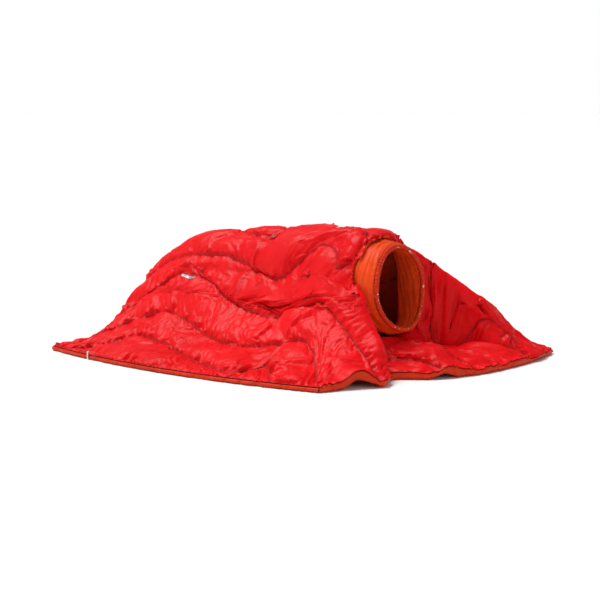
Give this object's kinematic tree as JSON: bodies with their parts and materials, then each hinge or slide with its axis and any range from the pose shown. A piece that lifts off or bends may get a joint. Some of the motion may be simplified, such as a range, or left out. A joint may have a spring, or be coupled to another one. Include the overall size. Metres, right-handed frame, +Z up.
{
  "type": "camp blanket",
  "caption": "Small quilted camp blanket worn over the back, draped to the floor, with a padded neck collar, wavy stitched channels and an orange lining.",
  "frame": {"origin": "on the floor, under the middle of the blanket's bounding box", "axes": "+X from the rear hem towards the neck opening, +Z up, Y across the blanket"},
  "size_m": [0.7296, 0.601, 0.2318],
  "materials": {
    "red_nylon": "satin ripstop nylon",
    "orange_nylon": "satin nylon",
    "fill": "matte synthetic wadding",
    "thread": "satin polyester thread",
    "elastic": "matte covered elastic",
    "label": "woven label",
    "mark": "reflective print",
    "snap_red": "satin acetal",
    "snap_grey": "satin acetal"
  },
  "bodies": {
    "root": {"shell_outer": "red_nylon", "lining": "orange_nylon", "fill_channel_1": "fill", "fill_channel_2": "fill", "fill_channel_3": "fill", "fill_channel_4": "fill", "fill_channel_5_rear": "fill", "fill_channel_5_front": "fill", "fill_channel_6_rear": "fill", "fill_channel_6_front": "fill", "fill_channel_7": "fill", "fill_channel_8": "fill", "fill_channel_9": "fill", "quilt_stitch_1": "thread", "quilt_stitch_2": "thread", "quilt_stitch_3": "thread", "quilt_stitch_4": "thread", "quilt_stitch_5_rear": "thread", "quilt_stitch_5_front": "thread", "quilt_stitch_6": "thread", "quilt_stitch_7": "thread", "quilt_stitch_8": "thread", "hem_facing_near": "orange_nylon", "hem_facing_front": "orange_nylon", "hem_facing_far": "orange_nylon", "hem_facing_rear": "orange_nylon", "collar_outer": "orange_nylon", "collar_fill": "fill", "collar_lining": "orange_nylon", "collar_casing": "orange_nylon", "collar_elastic": "elastic", "neck_label": "label", "reflective_mark": "mark", "snap_cap": "snap_red", "snap_socket": "snap_grey", "hem_tab": "label"}
  },
  "joints": []
}
